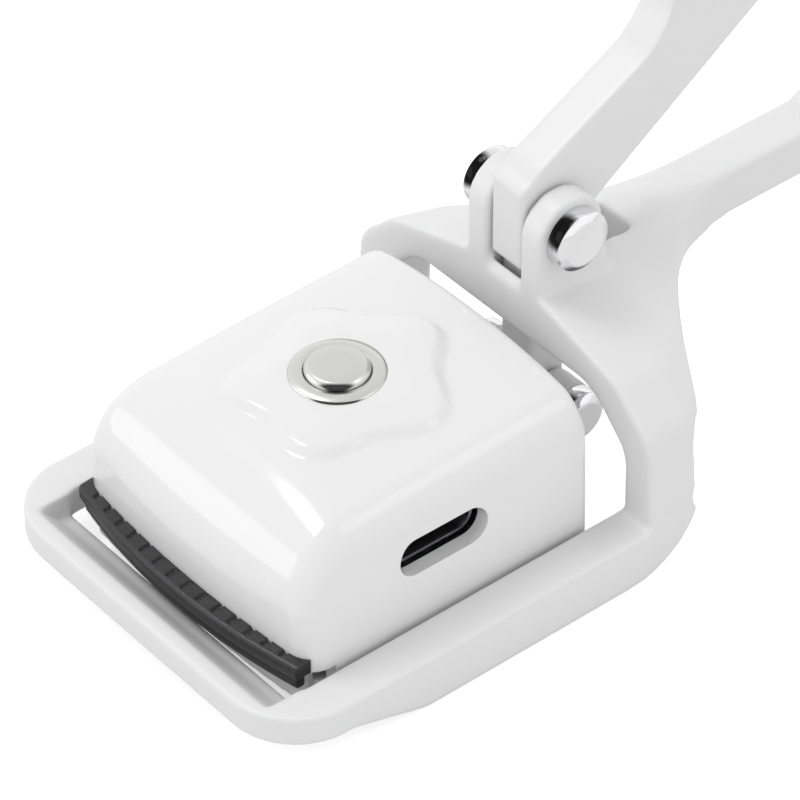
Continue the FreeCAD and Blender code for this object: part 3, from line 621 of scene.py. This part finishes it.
def sweep(section, half, steps):
    """Closed skin through sections across the head, with its two ends drawn in a little."""
    stations = [(-half, 0.88), (-half + 0.05, 0.96)]
    stations += [(-half + 0.14 + (2 * half - 0.28) * k / steps, 1.0) for k in range(steps + 1)]
    stations += [(half - 0.05, 0.96), (half, 0.88)]
    verts, faces = [], []
    for x, size in stations:
        ring = section(x)
        cy = sum(r[0] for r in ring) / len(ring)
        cz = sum(r[1] for r in ring) / len(ring)
        verts += [(x * MM, (cy + (y - cy) * size) * MM, (cz + (z - cz) * size) * MM) for y, z in ring]
    n = len(ring)
    for a in range(len(stations) - 1):
        for k in range(n):
            m = (k + 1) % n
            faces.append((a * n + k, a * n + m, (a + 1) * n + m, (a + 1) * n + k))
    faces.append(tuple(range(n)))
    faces.append(tuple(range((len(stations) - 1) * n, len(stations) * n)))
    return verts, faces


flange_v, flange_f = sweep(flange_section, COMB_HALF, 380)
root_v, root_f = sweep(root_section, COMB_HALF - ROOT_END_INSET, 60)
comb_mesh = bpy.data.meshes.new("lash_comb")
comb_mesh.from_pydata(flange_v + root_v, [], flange_f + [[i + len(flange_v) for i in f] for f in root_f])
comb = add("lash_comb", comb_mesh)
clean(comb, 1e-8)
smooth_all(comb)
comb.modifiers.new("shade", "WEIGHTED_NORMAL")
finish_piece(comb, "comb")
pad = softened("heating_pad", "lash_pad", 0.14, 5)
finish_piece(pad, "heating_pad")
base = softened("head_base", "head_underside", 0.22, 3)
finish_piece(base, "head_base")

for node, obj in nodes.items():
    if not obj.hide_render:
        dress(obj, slot_of[node])
        for p in obj.data.polygons:
            p.use_smooth = False


# Floor, world, lights, camera ----------------------------------------------------------------------

def floor_material():
    m, tree, shader = new_material("backdrop")
    tree.nodes.remove(shader)
    out = [n for n in tree.nodes if n.type == "OUTPUT_MATERIAL"][0]
    path = tree.nodes.new("ShaderNodeLightPath")
    seen = tree.nodes.new("ShaderNodeBsdfDiffuse")
    seen.inputs["Color"].default_value = (1, 1, 1, 1)
    glow = tree.nodes.new("ShaderNodeEmission")
    glow.inputs["Color"].default_value = (1, 1, 1, 1)
    glow.inputs["Strength"].default_value = 0.5
    both = tree.nodes.new("ShaderNodeAddShader")
    tree.links.new(seen.outputs["BSDF"], both.inputs[0])
    tree.links.new(glow.outputs["Emission"], both.inputs[1])
    other = tree.nodes.new("ShaderNodeBsdfDiffuse")
    other.inputs["Color"].default_value = (0.86, 0.86, 0.86, 1)
    mix = tree.nodes.new("ShaderNodeMixShader")
    tree.links.new(path.outputs["Is Camera Ray"], mix.inputs["Fac"])
    tree.links.new(other.outputs["BSDF"], mix.inputs[1])
    tree.links.new(both.outputs["Shader"], mix.inputs[2])
    tree.links.new(mix.outputs["Shader"], out.inputs["Surface"])
    return m


floor_mesh = bpy.data.meshes.new("floor")
S = 3.0
floor_mesh.from_pydata([(-S, -S, 0), (S, -S, 0), (S, S, 0), (-S, S, 0)], [], [(0, 1, 2, 3)])
floor = add("floor", floor_mesh)
floor.location.z = -0.0002
floor.data.materials.append(floor_material())

world = bpy.data.worlds.new("studio")
scene.world = world
world.use_nodes = True
wt = world.node_tree
wt.nodes.clear()
w_out = wt.nodes.new("ShaderNodeOutputWorld")
coord = wt.nodes.new("ShaderNodeTexCoord")
split_xyz = wt.nodes.new("ShaderNodeSeparateXYZ")
wt.links.new(coord.outputs["Generated"], split_xyz.inputs["Vector"])
ramp = wt.nodes.new("ShaderNodeValToRGB")
height = wt.nodes.new("ShaderNodeMapRange")
height.inputs["From Min"].default_value = -1.0
height.inputs["From Max"].default_value = 1.0
wt.links.new(split_xyz.outputs["Z"], height.inputs["Value"])
wt.links.new(height.outputs["Result"], ramp.inputs["Fac"])
ramp.color_ramp.elements[0].position = 0.45
ramp.color_ramp.elements[0].color = (1.0, 1.0, 1.0, 1)
ramp.color_ramp.elements[1].position = 1.0
ramp.color_ramp.elements[1].color = (0.84, 0.84, 0.84, 1)
mid = ramp.color_ramp.elements.new(0.62)
mid.color = (1.12, 1.12, 1.12, 1)


def blob(direction, near, far):
    """1 inside a cone about a direction, falling to 0 outside it; near and far are in degrees."""
    dot = wt.nodes.new("ShaderNodeVectorMath")
    dot.operation = "DOT_PRODUCT"
    v = Vector(direction).normalized()
    dot.inputs[1].default_value = v
    wt.links.new(coord.outputs["Generated"], dot.inputs[0])
    fall = wt.nodes.new("ShaderNodeMapRange")
    fall.interpolation_type = "SMOOTHSTEP"
    fall.inputs["From Min"].default_value = math.cos(math.radians(far))
    fall.inputs["From Max"].default_value = math.cos(math.radians(near))
    wt.links.new(dot.outputs["Value"], fall.inputs["Value"])
    return fall.outputs["Result"]


def mixed(a, b, fac):
    n = wt.nodes.new("ShaderNodeMix")
    n.data_type = "RGBA"
    wt.links.new(fac, n.inputs["Factor"])
    for socket, value in ((n.inputs["A"], a), (n.inputs["B"], b)):
        if isinstance(value, tuple):
            socket.default_value = value
        else:
            wt.links.new(value, socket)
    return n.outputs["Result"]


bright = mixed(ramp.outputs["Color"], (2.3, 2.3, 2.3, 1), blob((-0.6, -0.77, 0.12), 19, 21))
bright = mixed(bright, (1.9, 1.9, 1.9, 1), blob((0.55, 0.45, 0.62), 9, 14))
lit = wt.nodes.new("ShaderNodeBackground")
wt.links.new(ramp.outputs["Color"], lit.inputs["Color"])
lit.inputs["Strength"].default_value = 0.92
shown = wt.nodes.new("ShaderNodeBackground")
wt.links.new(bright, shown.inputs["Color"])
w_path = wt.nodes.new("ShaderNodeLightPath")
w_mix = wt.nodes.new("ShaderNodeMixShader")
wt.links.new(w_path.outputs["Is Glossy Ray"], w_mix.inputs["Fac"])
wt.links.new(lit.outputs["Background"], w_mix.inputs[1])
wt.links.new(shown.outputs["Background"], w_mix.inputs[2])
wt.links.new(w_mix.outputs["Shader"], w_out.inputs["Surface"])


def area(name, place, aim, size, power):
    light = bpy.data.lights.new(name, "AREA")
    light.shape = "DISK"
    light.size = size
    light.energy = power
    obj = bpy.data.objects.new(name, light)
    scene.collection.objects.link(obj)
    obj.location = place
    obj.rotation_euler = (Vector(aim) - Vector(place)).to_track_quat("-Z", "Y").to_euler()
    return obj


area("key", (-0.3, -0.2, 0.75), (0, 0, 0.01), 0.3, 1.5)

AIM = Vector((4.84, -28.45, 18.89)) * MM
AZ = math.radians(50.3)
EL = math.radians(40.4)
DIST = 0.425
away = Vector((math.sin(AZ) * math.cos(EL), -math.cos(AZ) * math.cos(EL), math.sin(EL)))
cam_data = bpy.data.cameras.new("camera")
cam_data.lens = 4972.0 * 36 / 800
cam_data.sensor_width = 36
cam_data.clip_start = 0.01
cam_data.clip_end = 20
cam = bpy.data.objects.new("camera", cam_data)
scene.collection.objects.link(cam)
cam.location = AIM + away * DIST
cam.rotation_euler = (-away).to_track_quat("-Z", "Y").to_euler()
scene.camera = cam
scene.view_settings.view_transform = "Standard"
